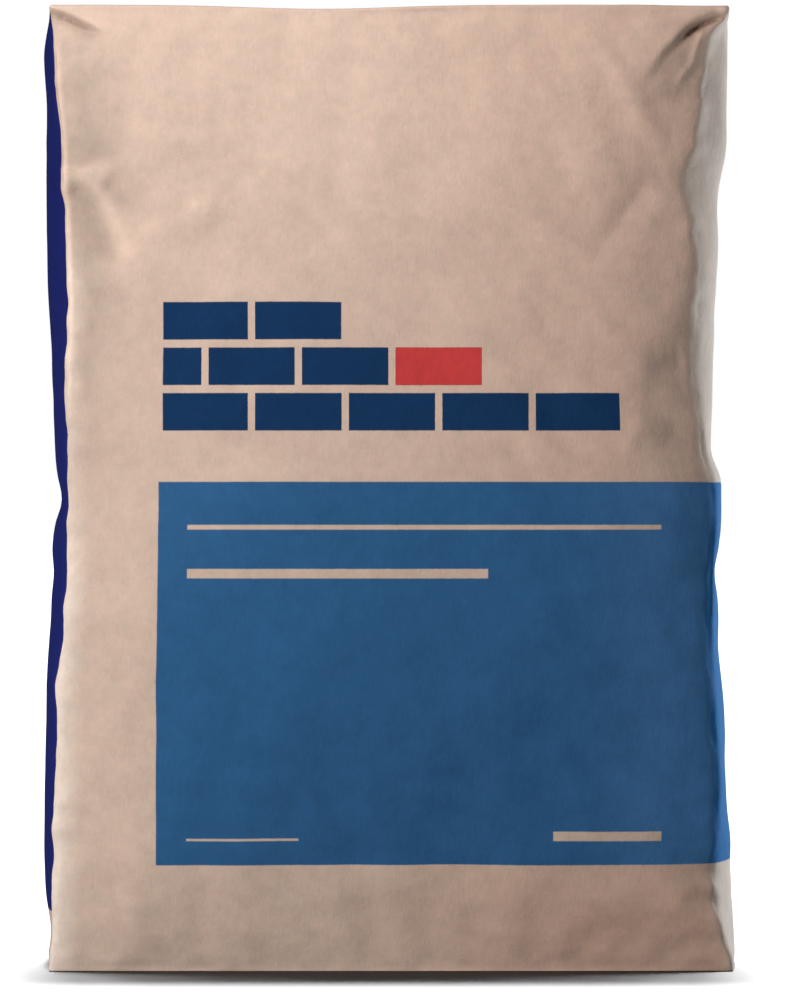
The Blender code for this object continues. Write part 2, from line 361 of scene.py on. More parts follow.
frontFolds = [
    {"points": [(0.2150, 0.6124), (0.2080, 0.6101), (0.2010, 0.6072), (0.1933, 0.6024), (0.1882, 0.5979),
                (0.1831, 0.5930)],
     "height": -0.0072, "widths": (0.0015, 0.0020), "fade": (0.16, 0.5), "soft": 0.0005},
    {"points": [(0.2020, 0.6040), (0.1984, 0.5950), (0.1946, 0.5816), (0.1876, 0.5733), (0.1800, 0.5600)],
     "height": 0.0024, "widths": (0.003, 0.003), "fade": (0.1, 0.5), "soft": 0.0006},
    {"points": [(0.2080, 0.6030), (0.2055, 0.5760), (0.2020, 0.5520)],
     "height": -0.0018, "widths": (0.004, 0.003), "fade": (0.1, 0.5)},
    {"points": [(0.1723, 0.5165), (0.1602, 0.4993), (0.1378, 0.4674), (0.1206, 0.4431)],
     "height": -0.0030, "widths": (0.009, 0.011), "fade": (0.3, 0.5), "soft": 0.002},
    {"points": [(0.1810, 0.5025), (0.1680, 0.4833), (0.1540, 0.4610)],
     "height": 0.0016, "widths": (0.010, 0.010), "fade": (0.3, 0.5), "soft": 0.003},
    {"points": [(0.2040, 0.4860), (0.1930, 0.4760), (0.1830, 0.4630)],
     "height": 0.0018, "widths": (0.006, 0.004), "fade": (0.3, 0.5)},
    {"points": [(0.1602, 0.3832), (0.1780, 0.3850), (0.1950, 0.3895)],
     "height": -0.0018, "widths": (0.007, 0.010), "fade": (0.4, 0.3), "soft": 0.0028},
    {"points": [(0.1680, 0.3960), (0.1860, 0.3975)],
     "height": 0.0010, "widths": (0.006, 0.006), "fade": (0.4, 0.3), "soft": 0.0020},
    {"points": [(0.1640, 0.3560), (0.1602, 0.3500), (0.1461, 0.3257)],
     "height": 0.0017, "widths": (0.012, 0.006), "fade": (0.2, 0.3), "soft": 0.0015},
    {"points": [(0.1870, 0.3540), (0.1740, 0.3283)],
     "height": -0.0014, "widths": (0.010, 0.008), "fade": (0.3, 0.3), "soft": 0.003},
    {"points": [(-0.2120, 0.6065), (-0.2020, 0.5975), (-0.1900, 0.5905)],
     "height": 0.0013, "widths": (0.004, 0.005), "fade": (0.1, 0.6), "soft": 0.001},
    {"points": [(-0.2140, 0.5980), (-0.2120, 0.5600), (-0.2080, 0.5100), (-0.2065, 0.4500),
                (-0.2060, 0.3800), (-0.2075, 0.3200)],
     "height": 0.0070, "widths": (0.020, 0.0035), "fade": (0.06, 0.30), "soft": 0.001},
    {"points": [(-0.2130, 0.6132), (-0.2060, 0.6102), (-0.1985, 0.6066), (-0.1870, 0.6005)],
     "height": -0.0022, "widths": (0.0018, 0.0018), "fade": (0.15, 0.5), "soft": 0.0008},
    {"points": [(-0.2110, 0.5140), (-0.1920, 0.5165), (-0.1729, 0.5184)],
     "height": 0.0024, "widths": (0.004, 0.005), "fade": (0.1, 0.5), "soft": 0.0012},
    {"points": [(-0.1960, 0.5160), (-0.1900, 0.5060), (-0.1810, 0.4950), (-0.1730, 0.4776),
                (-0.1650, 0.4597), (-0.1520, 0.4470), (-0.1350, 0.4375)],
     "height": 0.0037, "widths": (0.011, 0.009), "fade": (0.12, 0.4), "soft": 0.0018},
    {"points": [(-0.2035, 0.5069), (-0.1946, 0.4954), (-0.1844, 0.4776), (-0.1793, 0.4597),
                (-0.1716, 0.4451)],
     "height": -0.0050, "widths": (0.006, 0.020), "fade": (0.15, 0.35), "soft": 0.0010},
    {"points": [(-0.1844, 0.5057), (-0.1640, 0.4900), (-0.1461, 0.4789)],
     "height": -0.0034, "widths": (0.009, 0.007), "fade": (0.2, 0.5), "soft": 0.002},
    {"points": [(-0.1282, 0.4900), (-0.1190, 0.4890), (-0.1080, 0.4850)],
     "height": 0.0028, "widths": (0.004, 0.006), "fade": (0.2, 0.5), "soft": 0.001},
    {"points": [(-0.2080, 0.4440), (-0.1930, 0.4330), (-0.1840, 0.4200)],
     "height": 0.0026, "widths": (0.005, 0.006), "fade": (0.1, 0.5), "soft": 0.0015},
    {"points": [(-0.2060, 0.4080), (-0.1860, 0.4150)],
     "height": 0.0026, "widths": (0.005, 0.004), "fade": (0.1, 0.5), "soft": 0.0012},
    {"points": [(-0.2060, 0.3760), (-0.1880, 0.3715)],
     "height": 0.0017, "widths": (0.005, 0.005), "fade": (0.1, 0.5), "soft": 0.0012},
    {"points": [(0.0780, 0.2360), (0.1100, 0.2420), (0.1480, 0.2480)],
     "height": 0.0008, "widths": (0.004, 0.006), "fade": (0.3, 0.4), "soft": 0.0015},
]

# Folds of the side gussets, as (distance from the gusset's middle, height) points: the crease up the
# middle, and the two that run from it to each corner, where the gusset was tucked in to close the end
gussetFolds = [
    {"points": [(0.0, 0.050), (0.0015, 0.180), (-0.001, 0.330), (0.001, 0.480), (0.0, 0.572)],
     "height": -0.0008, "widths": (0.0045, 0.0045), "fade": (0.04, 0.10)},
    {"points": [(0.0, 0.572), (0.026, 0.594), (0.052, 0.616)],
     "height": 0.0007, "widths": (0.004, 0.004), "fade": (0.60, 0.15)},
    {"points": [(0.0, 0.572), (-0.026, 0.594), (-0.052, 0.616)],
     "height": 0.0007, "widths": (0.004, 0.004), "fade": (0.60, 0.15)},
    {"points": [(0.0, 0.050), (0.026, 0.028), (0.052, 0.005)],
     "height": 0.0007, "widths": (0.004, 0.004), "fade": (0.60, 0.15)},
    {"points": [(0.0, 0.050), (-0.026, 0.028), (-0.052, 0.005)],
     "height": 0.0007, "widths": (0.004, 0.004), "fade": (0.60, 0.15)},
]

# The cloth simulation that wrinkles the paper between its folded ends. It runs on every third point, and
# what is kept of it is its wrinkles, without the broad swell
settling = {
    "every": 3,
    "frames": 20,
    "quality": 5,
    "push": 1.0,
    "spareLength": 0.012,
    "weight": 0.3,
    "stretchStiffness": 80.0,
    "bendStiffness": 0.5,
    "heldEnd": 0.006,
    "broad": 0.050,
    "share": 0.45,
    "most": 0.0035,
    "pointStep": 0.0029,  # about how far apart the paper's points are
    "lastBlur": 1.2,  # in points
}

# Lumps, crumples and pleats: sizes and heights in metres
relief = {
    "lumps": (0.028, 0.034, 0.00040),
    "dimples": (0.011, 0.013, 0.00040),
    "bigFacets": (0.058, 0.00095),
    "smallFacets": (0.027, 0.00068),
    "tinyFacets": (0.013, 0.00028),
    "pleats": (0.018, 0.0060, 0.00030),
    "puckers": (0.0038, 0.0120, 0.00058),
    "puckerReach": 0.022,
    "seeds": {"lumps": 11, "dimples": 12, "pleats": 50, "puckers": 60},
    "facetSeeds": {"bigFacets": 20, "smallFacets": 30, "tinyFacets": 40},
    "facetBlur": 0.5,  # in points
    "edgeBlur": (2.2, 0.01),  # of the wall's upper and lower edges, in points up it and round it
    "endReach": 0.035,
    "endLevel": 0.62,
    "endCalm": 0.6,  # by what share lumps and crumples are lower at the ends
    "sideCalm": (0.75, 0.75, 1.0),  # by what share they are lower on the gussets, and between which normals
    "frontDepth": 0.056,  # how far in front of the middle the front's tucks and folds hold in full
    "topFade": (0.6150, 0.6182),
    # The crease settings feed painted shade where the paper lies sunk and a painted highlight where it
    # stands out
    "creaseBlur": 6.0,  # in points: a crease stands above or below the same heights, blurred by this much
    "rightCrease": 0.25,  # what share of their painted shade and highlight the creases on the right keep
    "creaseFade": 0.06,
}


def sewn(rows, columns):
    # The number of each point in rings of points, where the first and last rings are sewn front to back: two
    # points that meet there share the lower number
    index = np.arange(rows * columns).reshape(rows, columns)
    twin = (columns // 2 - np.arange(columns)) % columns
    for row in (0, rows - 1):
        index[row] = index[row, np.minimum(np.arange(columns), twin)]
    return index


def simulatedWrinkles(grid, normals, around, up):
    # A coarse copy of the sack, a little too large for its place, is pushed out by the cement while its ends
    # are held. The height of each point over its start, less the broad part of that height, is its wrinkle.
    # The coarse points are joined by straight lines, and a small blur rounds those
    every = settling["every"]
    coarse, coarseNormals = grid[::every, ::every], normals[::every, ::every]
    mesh = gridMesh("settling", coarse, around[::every], up[::every])
    copy = bpy.data.objects.new("settling", mesh)
    bpy.context.scene.collection.objects.link(copy)
    start = np.empty(3 * len(mesh.vertices))
    mesh.vertices.foreach_get("co", start)
    z = start[2::3]
    held = np.flatnonzero((z < settling["heldEnd"]) | (z > sack["top"] - settling["heldEnd"]))
    copy.vertex_groups.new(name="held").add(held.tolist(), 1.0, "REPLACE")
    cloth = copy.modifiers.new("cloth", "CLOTH")
    rules = cloth.settings
    rules.quality = settling["quality"]
    rules.mass = settling["weight"]
    rules.tension_stiffness = rules.compression_stiffness = settling["stretchStiffness"]
    rules.shear_stiffness = settling["stretchStiffness"] / 2
    rules.bending_stiffness = settling["bendStiffness"]
    rules.use_pressure = True
    rules.uniform_pressure_force = settling["push"]
    rules.shrink_min = -settling["spareLength"]
    rules.vertex_group_mass = "held"
    rules.effector_weights.gravity = 0
    cloth.collision_settings.use_collision = False
    cloth.point_cache.frame_end = settling["frames"]
    for step in range(1, settling["frames"] + 1):
        bpy.context.scene.frame_set(step)
    settled = copy.evaluated_get(bpy.context.evaluated_depsgraph_get()).data
    moved = np.empty(3 * len(settled.vertices))
    settled.vertices.foreach_get("co", moved)
    bpy.context.scene.frame_set(1)
    moved = (moved - start).reshape(-1, 3)
    index = sewn(*coarse.shape[:2])
    columns = index.shape[1]
    shift = moved[np.searchsorted(np.unique(index), index)]
    height = (shift * coarseNormals).sum(axis=2)
    broad = settling["broad"] / (settling["pointStep"] * every)
    height = (height - blurred(height, broad, broad)) * settling["share"]
    height = settling["most"] * np.tanh(height / settling["most"])
    bpy.data.objects.remove(copy)
    bpy.data.meshes.remove(mesh)
    i, j = np.arange(grid.shape[0]), np.arange(grid.shape[1])
    rowShare, columnShare = (i % every / every)[:, None], (j % every / every)[None, :]
    height = np.concatenate([height, height[-1:]])
    height = height[i // every] * (1 - rowShare) + height[i // every + 1] * rowShare
    nextColumn = (j // every + 1) % columns
    height = height[:, j // every] * (1 - columnShare) + height[:, nextColumn] * columnShare
    print("wrinkles up to", round(1000 * float(np.abs(height).max()), 1), "mm")
    return blurred(height, settling["lastBlur"], settling["lastBlur"])


def settledPaper():
    # The sack's surface, raised along its normals by lumps, facets and wrinkles that fade out at its edges.
    # The front's folds and tucks are then pressed into it from the front
    grid = sackGrid()
    column = grid[:, paper["measuredColumn"]]
    around, up = paperPlaces(np.linalg.norm(np.diff(column, axis=0), axis=1))
    firstWall = paper["capRows"] + paper["edgeRows"]
    up += column[firstWall, 2] - up[firstWall]
    a, h = np.meshgrid(around[:-1], up)
    x, z = grid[:, :, 0], grid[:, :, 2]
    onWall = np.zeros(grid.shape[:2])
    onWall[firstWall:-firstWall] = 1
    onWall = blurred(onWall, *relief["edgeBlur"])
    reach = relief["endReach"]
    nearEnds = np.clip(np.exp(-z / reach) + np.exp(-(relief["endLevel"] - z) / reach), 0, 1)
    normals = gridNormals(grid)
    calm, low, high = relief["sideCalm"]
    towardsSide = 1 - calm * smooth(low, high, np.abs(normals[:, :, 0]))

    def lumps(name):
        # Soft lumps by their settings
        sizeUp, sizeAround, height = relief[name]
        return softLumps(relief["seeds"][name], a, h, sizeUp, sizeAround) * height

    calmer = 1 - relief["endCalm"] * nearEnds
    rise = (lumps("lumps") + lumps("dimples")) * calmer
    crumple = sum(facets(seed, a, h, *relief[size]) for size, seed in relief["facetSeeds"].items())
    rise += blurred(crumple, relief["facetBlur"], relief["facetBlur"]) * calmer
    rise += lumps("pleats") * nearEnds
    fromFold = np.abs(np.abs(a) - sack["faceHalf"])
    rise += lumps("puckers") * np.exp(-fromFold / relief["puckerReach"])
    rise += simulatedWrinkles(grid, normals, around, up)
    rise *= onWall * towardsSide
    gussetMiddle = sack["faceHalf"] + sack["gussetHalf"]
    for fold in gussetFolds:
        rise += foldField(np.abs(a) - gussetMiddle, h, fold) * onWall
    front = smooth(0.0, relief["frontDepth"], -grid[:, :, 1])
    press = sum(foldField(x, z, fold) for fold in frontFolds)
    press = press + sum(tuckField(x, z, tuck) for tuck in frontTucks)
    press *= front * (1 - smooth(*relief["topFade"], z))
    grid = grid + normals * rise[:, :, None]
    grid[:, :, 1] -= press
    # How far the pressed paper stands out of its blurred surroundings, less on the right: the paint turns
    # this into painted shade in hollows and a painted highlight on ridges
    crease = press - blurred(press, relief["creaseBlur"], relief["creaseBlur"])
    onLeft = smooth(0.0, relief["creaseFade"], -x)
    crease *= relief["rightCrease"] + (1 - relief["rightCrease"]) * onLeft
    return grid, gridNormals(grid), around, up, crease


def gridMesh(name, grid, around, up, crease=None):
    # A mesh from rings of points, closed round each ring, its first and last rings sewn front to back, with
    # the paper's own places as its UV map, and how far each point stands out of its surroundings as "crease"
    index = sewn(*grid.shape[:2])
    ahead = np.roll(index, -1, axis=1)
    quads = np.stack([index[:-1], ahead[:-1], ahead[1:], index[1:]], axis=2)
    used, compact = np.unique(quads.reshape(-1, 4), return_inverse=True)
    mesh = bpy.data.meshes.new(name)
    mesh.from_pydata(grid.reshape(-1, 3)[used].tolist(), [], compact.reshape(-1, 4).tolist())
    mesh.update()
    if crease is not None:
        # Carried to the paint, which turns it into painted shade and highlight along the creases
        mesh.attributes.new("crease", "FLOAT", "POINT").data.foreach_set("value", crease.ravel()[used])
    u0, v0 = np.meshgrid(around[:-1], up[:-1])
    u1, v1 = np.meshgrid(around[1:], up[1:])
    uv = np.stack([u0, v0, u1, v0, u1, v1, u0, v1], axis=2)
    mesh.uv_layers.new(name="paper").data.foreach_set("uv", uv.ravel())
    return mesh


lampLit = bpy.data.collections.new("lampLit")  # what the lamps shine on: the sack, and not the floor


def addPiece(name, mesh, material, slot, *nodes):
    # Puts a mesh in the scene as a piece of the sack, smooth except at its sharp edges
    mesh.validate()
    mesh.shade_smooth()
    mesh.set_sharp_from_angle(angle=math.radians(paper["sharpAngle"]))
    mesh.materials.append(material)
    piece = bpy.data.objects.new(name, mesh)
    bpy.context.scene.collection.objects.link(piece)
    lampLit.objects.link(piece)
    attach(piece, "root")
    if nodes:
        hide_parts(*nodes)
    print(name, len(mesh.vertices), "points")
    return piece


def sheetMesh(name, inner, outer):
    # A closed sheet between two grids of points: both faces, and a strip along each of the four edges
    rows, columns = inner.shape[:2]
    low = np.arange(rows * columns).reshape(rows, columns)
    high = low + rows * columns

    def quads(a, b, c, d):
        return np.stack([a, b, c, d], axis=-1).reshape(-1, 4)

    faces = [
        quads(high[:-1, :-1], high[:-1, 1:], high[1:, 1:], high[1:, :-1]),
        quads(low[:-1, :-1], low[1:, :-1], low[1:, 1:], low[:-1, 1:]),
        quads(low[0, :-1], low[0, 1:], high[0, 1:], high[0, :-1]),
        quads(low[-1, 1:], low[-1, :-1], high[-1, :-1], high[-1, 1:]),
        quads(low[1:, 0], low[:-1, 0], high[:-1, 0], high[1:, 0]),
        quads(low[:-1, -1], low[1:, -1], high[1:, -1], high[:-1, -1]),
    ]
    mesh = bpy.data.meshes.new(name)
    points = np.concatenate([inner.reshape(-1, 3), outer.reshape(-1, 3)])
    mesh.from_pydata(points.tolist(), [], np.concatenate(faces).tolist())
    mesh.update()
    return mesh


# Paper finishes: a colour, by what share each pattern varies it, and the roughness
finishes = {
    "kraft": {
        "colour": (0.520, 0.370, 0.282), "cloud": 0.08, "mottle": 0.18, "fibre": 0.07, "rough": 0.80,
    },
    "patchKraft": {
        "colour": (0.470, 0.325, 0.238), "cloud": 0.10, "mottle": 0.16, "fibre": 0.20, "rough": 0.82,
    },
    "sleevePaper": {
        "colour": (0.620, 0.500, 0.395), "cloud": 0.06, "mottle": 0.10, "fibre": 0.14, "rough": 0.66,
    },
}

# The patterns that all the finishes share. A noise is its scale in cycles a metre, its detail and its
# roughness. A grain is first stretched by the scales given, so its own scale is 1
grain = {
    "cloud": (9.0, 2.0),
    "mottle": (95.0, 5.0, 0.70),
    "fibreStretch": (900.0, 900.0, 150.0),
    "fibre": (1.0, 3.0, 0.6),
    "crossStretch": (260.0, 260.0, 1500.0),
    "cross": (1.0, 2.0, 0.5),
    "speck": (620.0, 1.0),
    "speckFrom": 0.71,
    "speckFull": 0.80,
    "speckShare": 0.10,
    "warmth": (150.0, 3.0),
    "warmthShare": 0.14,
    "wander": {"Scale": 240.0, "Detail": 2.0},  # how the ink's edge strays
    "wanderSize": 0.0003,  # by how much it strays in all, half of it to either side
    "thinnedInk": {1: 0.60, 2: 0.80, 3: 1.0, 4: 0.985},  # ink's cover on fibres, from low to raised ones
    "creaseShadeAndHighlight": {1: -0.003, 2: 0.003, 3: 0.83, 4: 1.20},  # painted shade in hollows and painted highlight on ridges: from this deep to this high, darker to paler
    "roughSwing": 0.16,
    "specular": 0.04,
    "bump": {"mottle": 0.9, "fibre": 0.22, "cross": 0.10},
    "bumpStrength": 0.55,
    "bumpDistance": 0.0012,
}
inks = {
    "indigo": (0.0095, 0.0140, 0.100),
    "panel": (0.0240, 0.0890, 0.192),
    # The panel's ink with painted light: paler on the margins beside the right gusset, and bluer on the
    # gusset itself
    "panelMarginLit": (0.0440, 0.1270, 0.262),
    "panelSideLit": (0.0045, 0.0900, 0.232),
    "brick": (0.0060, 0.0280, 0.078),
    "redBrick": (0.470, 0.042, 0.038),
    "bare": (0.500, 0.360, 0.275),
}


# Painted shade and highlight on the printed paper: painted shade beside the left fold, darker and greyer,
# a painted highlight along that fold's own edge, paler and bluer, and painted shade on the right of the
# front, darker and redder towards the right and the foot. Each band is a rise or a fall of a mark's share:
# from, to, and the values there. The first two bands run across the paper and the last two up it. Patches
# are the size of the mark's own patchiness, in cycles a metre, and its least share
patchiness = {"detail": 3.0, "rough": 0.6, "from": 0.30, "full": 0.62}
paintedShadeAndHighlight = {
    # Painted shade beside the left fold, in its upper part: darker and greyer
    "leftFoldShade": {
        "tint": (0.78, 0.81, 0.80),
        "bands": [
            (-0.2140, -0.2100, 0.0, 1.0), (-0.2020, -0.1620, 1.0, 0.0),
            (0.3300, 0.4700, 0.2, 1.0), (0.5880, 0.6050, 1.0, 0.0),
        ],
        "patches": (34.0, 0.62),
    },
    # Painted highlight along the left fold's own edge, strongest low down: paler and bluer
    "leftFoldHighlight": {
        "tint": (1.34, 1.52, 1.62),
        "bands": [
            (-0.2200, -0.2185, 0.0, 1.0), (-0.2175, -0.1960, 1.0, 0.0),
            (0.2400, 0.3200, 1.0, 0.42), (0.4400, 0.5000, 1.0, 0.0),
        ],
        "patches": (70.0, 0.55),
    },
    # Painted shade: darker and redder on the right of the front and towards its foot
    "tan": {
        "tint": (0.94, 0.84, 0.81),
        "bands": [
            (-0.0600, 0.1500, 0.0, 1.0), (0.2080, 0.2180, 1.0, 0.0),
            (0.0300, 0.1100, 1.0, 0.55), (0.6000, 0.6200, 1.0, 0.8),
        ],
        "patches": (20.0, 0.80),
    },
}
# Painted light on the panel's ink: bluer and brighter on the right gusset, standing in for the rim lamp's
# light there, and paler on the margins beside it, a painted lift of their shade. These are the gusset's
# middle, and how far from it each holds in full and ends
panelPaintedLight = {
    "middle": sack["faceHalf"] + sack["gussetHalf"],
    "gusset": (0.052, 0.068),
    "margin": (0.087, 0.172),
}


class Nodes:
    # Wires one material's nodes. Every method returns the output that the next step reads
    def __init__(self, name):
        self.material = bpy.data.materials.new(name)
        self.material.use_nodes = True
        self.tree = self.material.node_tree
        self.shader = self.tree.nodes["Principled BSDF"]

    def add(self, kind, inputs=(), **settings):
        # A new node: an input that is an output of another node is linked, and any other is a constant
        made = self.tree.nodes.new(kind)
        for key, value in settings.items():
            setattr(made, key, value)
        for socket, value in dict(inputs).items():
            if isinstance(value, bpy.types.NodeSocket):
                self.tree.links.new(value, made.inputs[socket])
            else:
                made.inputs[socket].default_value = value
        return made

    def maths(self, kind, a, b=0.0):
        # One number from two, by the kind of sum
        return self.add("ShaderNodeMath", {0: a, 1: b}, operation=kind).outputs[0]

    def noise(self, place, scale, detail, rough=0.5):
        # Soft noise about 0.5
        settings = {"Vector": place, "Scale": scale, "Detail": detail, "Roughness": rough}
        return self.add("ShaderNodeTexNoise", settings).outputs[0]

    def times(self, a, b):
        # Two colours or places, multiplied part by part
        return self.add("ShaderNodeVectorMath", {0: a, 1: b}, operation="MULTIPLY").outputs[0]

    def stretched(self, place, scale):
        # A place with each of its axes multiplied
        return self.add("ShaderNodeMapping", {"Vector": place, "Scale": scale}).outputs[0]

    def mixed(self, share, a, b):
        # From a at share 0 to b at share 1
        return self.add("ShaderNodeMix", {"Factor": share, 6: a, 7: b}, data_type="RGBA").outputs[2]

    def eased(self, value, low, high, start, end):
        # From start at low to end at high, by an S curve
        bounds = {0: value, 1: low, 2: high, 3: start, 4: end}
        return self.add("ShaderNodeMapRange", bounds, interpolation_type="SMOOTHSTEP").outputs[0]

    def between(self, value, low, high, edge=0.00035):
        # 1 where the value lies between low and high, with an edge as soft as ink's
        rise = self.add("ShaderNodeMapRange", {0: value, 1: low - edge, 2: low + edge}).outputs[0]
        fall = self.add("ShaderNodeMapRange", {0: value, 1: high - edge, 2: high + edge}).outputs[0]
        return self.maths("SUBTRACT", rise, fall)

    def inside(self, place, box):
        # 1 inside a box of the paper: its left and right, then its bottom and top
        return self.maths("MULTIPLY", self.between(place[0], *box[:2]), self.between(place[1], *box[2:]))


# The printed brickwork: a wall half built, in three courses
brickwork = {"left": -0.1480, "foot": 0.3460, "length": 0.0610, "rise": 0.0290, "joint": 0.0050}


def brickFaces(nodes, place):
    # 1 on the bricks of a running bond, and 0 on its joints
    half = brickwork["joint"] / 2
    origin = (half - brickwork["left"], half + brickwork["rise"] - brickwork["foot"], 0.0)
    shifted = nodes.add("ShaderNodeVectorMath", {0: place, 1: origin}, operation="ADD").outputs[0]
    settings = {
        "Vector": shifted, "Scale": 1.0, "Mortar Size": half, "Mortar Smooth": 0.12,
        "Brick Width": brickwork["length"], "Row Height": brickwork["rise"],
    }
    bond = nodes.add("ShaderNodeTexBrick", settings, offset=0.5, offset_frequency=2, squash=1.0)
    return nodes.maths("SUBTRACT", 1.0, bond.outputs["Fac"])


def course(number, start, end):
    # The box of a course of bricks: number counts from 0 at the foot, start and end count bricks
    names = ("left", "foot", "length", "rise", "joint")
    left, foot, length, rise, joint = [brickwork[name] for name in names]
    low = foot + number * rise
    return (left + start * length, left + end * length - joint, low, low + rise - joint)


def paperFinish(name, plan, printed=False):
    # Brown paper: soft clouds, mottling and fibres that run up the sheet vary its colour, and the same
    # patterns give its bump. Where it is printed, painted shade and highlight tint it, and ink covers the
    # colour where the print is and thins out on the raised fibres; the panel's ink carries painted light by
    # the right gusset
    nodes = Nodes(name)
    place = nodes.add("ShaderNodeTexCoord").outputs["Object"]
    cloud = nodes.noise(place, *grain["cloud"])
    mottle = nodes.noise(place, *grain["mottle"])
    fibre = nodes.noise(nodes.stretched(place, grain["fibreStretch"]), *grain["fibre"])
    cross = nodes.noise(nodes.stretched(place, grain["crossStretch"]), *grain["cross"])
    dots = {0: nodes.noise(place, *grain["speck"]), 1: grain["speckFrom"], 2: grain["speckFull"]}
    speck = nodes.add("ShaderNodeMapRange", dots).outputs[0]
    shade = 1.0
    for pattern, share in ((cloud, plan["cloud"]), (mottle, plan["mottle"]), (fibre, plan["fibre"])):
        swing = nodes.maths("MULTIPLY", nodes.maths("SUBTRACT", pattern, 0.5), share * 2)
        shade = nodes.maths("ADD", swing, shade)
    shade = nodes.maths("SUBTRACT", shade, nodes.maths("MULTIPLY", speck, grain["speckShare"]))
    warmth = nodes.maths("SUBTRACT", nodes.noise(place, *grain["warmth"]), 0.5)
    redder = nodes.maths("ADD", shade, nodes.maths("MULTIPLY", warmth, grain["warmthShare"]))
    grey = nodes.add("ShaderNodeCombineXYZ", {0: redder, 1: shade, 2: shade}).outputs[0]
    colour = nodes.times(grey, plan["colour"])
    if printed:
        paperPlace = nodes.add("ShaderNodeUVMap", uv_map="paper").outputs[0]
        wander = nodes.add("ShaderNodeTexNoise", {"Vector": place, **grain["wander"]}).outputs[1]
        size = grain["wanderSize"]
        shift = nodes.times(wander, (size, size, 0.0))
        centred = {0: shift, 1: (size / 2, size / 2, 0.0)}
        shift = nodes.add("ShaderNodeVectorMath", centred, operation="SUBTRACT").outputs[0]
        moved = nodes.add("ShaderNodeVectorMath", {0: paperPlace, 1: shift}, operation="ADD").outputs[0]
        split = nodes.add("ShaderNodeSeparateXYZ", {0: moved}).outputs
        thin = nodes.add("ShaderNodeMapRange", {0: fibre, **grain["thinnedInk"]}).outputs[0]
        cover = {}
        for area, ink in prints:
            inArea = nodes.inside(split, area)
            cover[ink] = nodes.maths("MAXIMUM", cover[ink], inArea) if ink in cover else inArea
        # Painted shade and highlight from the marks above, each patchy and held within its bands
        for mark in paintedShadeAndHighlight.values():
            scale, least = mark["patches"]
            patches = nodes.noise(place, scale, patchiness["detail"], patchiness["rough"])
            patchy = {0: patches, 1: patchiness["from"], 2: patchiness["full"], 3: least, 4: 1.0}
            paintedShare = nodes.add("ShaderNodeMapRange", patchy).outputs[0]
            for number, band in enumerate(mark["bands"]):
                paintedShare = nodes.maths("MULTIPLY", paintedShare, nodes.eased(split[number // 2], *band))
            colour = nodes.mixed(paintedShare, colour, nodes.times(colour, mark["tint"]))
        # Painted shade and highlight: the paper is darker where it lies sunk, where shade falls, and paler
        # where it stands out
        crease = nodes.add("ShaderNodeAttribute", attribute_name="crease").outputs["Fac"]
        paintedCreaseTint = nodes.add("ShaderNodeMapRange", {0: crease, **grain["creaseShadeAndHighlight"]}).outputs[0]
        scaled = {0: colour, "Scale": paintedCreaseTint}
        colour = nodes.add("ShaderNodeVectorMath", scaled, operation="SCALE").outputs[0]
        # Painted light on the panel's ink near the right gusset: bluer and brighter on the gusset, paler on
        # the margins beside it
        fromGusset = nodes.maths("ABSOLUTE", nodes.maths("SUBTRACT", split[0], panelPaintedLight["middle"]))
        gussetLitShare = nodes.eased(fromGusset, *panelPaintedLight["gusset"], 1.0, 0.0)
        marginLitShare = nodes.eased(fromGusset, *panelPaintedLight["margin"], 1.0, 0.0)
        front = nodes.mixed(marginLitShare, (*inks["panel"], 1), (*inks["panelMarginLit"], 1))
        tones = dict(inks, panel=nodes.mixed(gussetLitShare, front, (*inks["panelSideLit"], 1)))
        for ink, share in cover.items():
            if ink in ("brick", "redBrick"):
                share = nodes.maths("MULTIPLY", share, brickFaces(nodes, moved))
            share = nodes.maths("MULTIPLY", share, thin)
            colour = nodes.mixed(share, colour, nodes.times(grey, tones[ink]))
    nodes.tree.links.new(colour, nodes.shader.inputs["Base Color"])
    swing = grain["roughSwing"]
    rough = nodes.maths("ADD", nodes.maths("MULTIPLY", mottle, swing), plan["rough"] - swing / 2)
    nodes.tree.links.new(rough, nodes.shader.inputs["Roughness"])
    nodes.shader.inputs["Specular IOR Level"].default_value = grain["specular"]
    height = nodes.maths("MULTIPLY", mottle, grain["bump"]["mottle"])
    height = nodes.maths("ADD", height, nodes.maths("MULTIPLY", fibre, grain["bump"]["fibre"]))
    height = nodes.maths("ADD", height, nodes.maths("MULTIPLY", cross, grain["bump"]["cross"]))
    relieved = {"Strength": grain["bumpStrength"], "Distance": grain["bumpDistance"], "Height": height}
    bump = nodes.add("ShaderNodeBump", relieved)
    nodes.tree.links.new(bump.outputs[0], nodes.shader.inputs["Normal"])
    return nodes.material


# Printed areas of the paper: left, right, bottom, top, and the ink. A later one covers an earlier one
prints = [
    ((-0.3375, -0.2190, 0.0385, 0.613), "indigo"),
    ((-0.1510, 0.706, 0.0690, 0.3134), "panel"),
    ((-0.5600, -0.402, 0.0690, 0.3134), "panel"),
    (course(0, 0, 5), "brick"),
    (course(1, 0, 3.5), "brick"),
    (course(2, 0, 2), "brick"),
    (course(1, 2.5, 3.5), "redBrick"),
    ((-0.1315, 0.1780, 0.2830, 0.2860), "bare"),
    ((-0.1315, 0.0645, 0.2520, 0.2580), "bare"),
    ((-0.1315, -0.0590, 0.0845, 0.0860), "bare"),
    ((0.1070, 0.1780, 0.0845, 0.0905), "bare"),
]

print("paper finishes")
kraft = paperFinish("kraft", finishes["kraft"], printed=True)
plainKraft = paperFinish("plainKraft", finishes["kraft"])
patchKraft = paperFinish("patchKraft", finishes["patchKraft"])
sleevePaper = paperFinish("sleevePaper", finishes["sleevePaper"])

print("sack surface")
body, normals, around, up, crease = settledPaper()
paperMesh = gridMesh("paperSack", body, around, up, crease)
paperSack = addPiece("paperSack", paperMesh, kraft, "kraft_paper", "paper_sack", "cement_fill")

